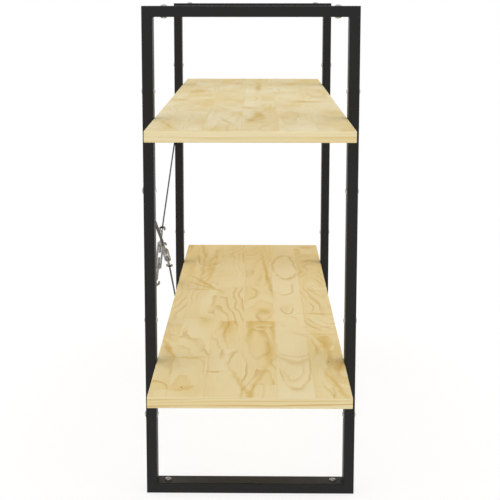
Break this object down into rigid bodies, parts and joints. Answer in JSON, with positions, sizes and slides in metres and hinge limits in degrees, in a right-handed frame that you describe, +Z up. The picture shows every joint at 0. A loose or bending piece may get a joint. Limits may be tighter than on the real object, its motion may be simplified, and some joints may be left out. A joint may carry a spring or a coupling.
{
  "type": "bookcase",
  "caption": "Open bookcase: two closed rectangular tube frames carry two overhanging pine shelves, stiffened by a cross brace of strips and turnbuckles behind the lower bay.",
  "frame": {"origin": "on the floor under the middle of the bookcase", "axes": "+X along the shelves to the right as seen from the front, +Y to the back, where the brace is, +Z up"},
  "size_m": [1, 0.3149, 0.7024],
  "materials": {
    "frame_coat": "fine satin charcoal powder coat",
    "pine": "edge-glued pine staves under a clear matt lacquer",
    "bright_bolt": "bright plated domed heads",
    "zinc_screw": "zinc-plated",
    "strip_coat": "charcoal coat over flat steel strip",
    "zinc_turnbuckle": "bright zinc plate"
  },
  "bodies": {
    "case": {"left_back_post": "frame_coat", "left_front_post": "frame_coat", "left_top_bar": "frame_coat", "left_bottom_bar": "frame_coat", "left_lower_rail": "frame_coat", "left_upper_rail": "frame_coat", "right_back_post": "frame_coat", "right_front_post": "frame_coat", "right_top_bar": "frame_coat", "right_bottom_bar": "frame_coat", "right_lower_rail": "frame_coat", "right_upper_rail": "frame_coat", "lower_shelf": "pine", "upper_shelf": "pine", "post_bolts": "bright_bolt", "post_barrel_nuts": "bright_bolt", "top_bar_bolts": "bright_bolt", "top_bar_barrel_nuts": "bright_bolt", "base_screws": "bright_bolt", "base_rivet_nuts": "zinc_screw", "shelf_screws": "zinc_screw", "rising_upper_strip": "strip_coat", "rising_lower_strip": "strip_coat", "falling_upper_strip": "strip_coat", "falling_lower_strip": "strip_coat"},
    "rising_turnbuckle_body": {"rising_turnbuckle": "zinc_turnbuckle"},
    "rising_upper_hook_body": {"rising_upper_hook": "zinc_turnbuckle"},
    "rising_lower_hook_body": {"rising_lower_hook": "zinc_turnbuckle"},
    "falling_turnbuckle_body": {"falling_turnbuckle": "zinc_turnbuckle"},
    "falling_upper_hook_body": {"falling_upper_hook": "zinc_turnbuckle"},
    "falling_lower_hook_body": {"falling_lower_hook": "zinc_turnbuckle"}
  },
  "joints": [
    {"name": "rising_turnbuckle_spin", "type": "hinge", "parent": "case", "child": "rising_turnbuckle_body", "pos_m": [0, 0.15645, 0.27875], "axis": [-0.8984, 0, -0.4391], "range_deg": [0, 1440]},
    {"name": "rising_upper_hook_slide", "type": "slide", "parent": "case", "child": "rising_upper_hook_body", "axis": [0.8984, 0, 0.4391], "range_m": [0, 0.00281]},
    {"name": "rising_lower_hook_slide", "type": "slide", "parent": "case", "child": "rising_lower_hook_body", "axis": [-0.8984, 0, -0.4391], "range_m": [0, 0.00281]},
    {"name": "falling_turnbuckle_spin", "type": "hinge", "parent": "case", "child": "falling_turnbuckle_body", "pos_m": [0, 0.14455, 0.27875], "axis": [0.8984, 0, -0.4391], "range_deg": [0, 1440]},
    {"name": "falling_upper_hook_slide", "type": "slide", "parent": "case", "child": "falling_upper_hook_body", "axis": [-0.8984, 0, 0.4391], "range_m": [0, 0.00281]},
    {"name": "falling_lower_hook_slide", "type": "slide", "parent": "case", "child": "falling_lower_hook_body", "axis": [0.8984, 0, -0.4391], "range_m": [0, 0.00281]}
  ],
  "couplings": [
    {"joint": "rising_upper_hook_slide", "follows": "rising_turnbuckle_spin", "m_per_rad": 0.00011141},
    {"joint": "rising_lower_hook_slide", "follows": "rising_turnbuckle_spin", "m_per_rad": 0.00011141},
    {"joint": "falling_upper_hook_slide", "follows": "falling_turnbuckle_spin", "m_per_rad": 0.00011141},
    {"joint": "falling_lower_hook_slide", "follows": "falling_turnbuckle_spin", "m_per_rad": 0.00011141}
  ]
}
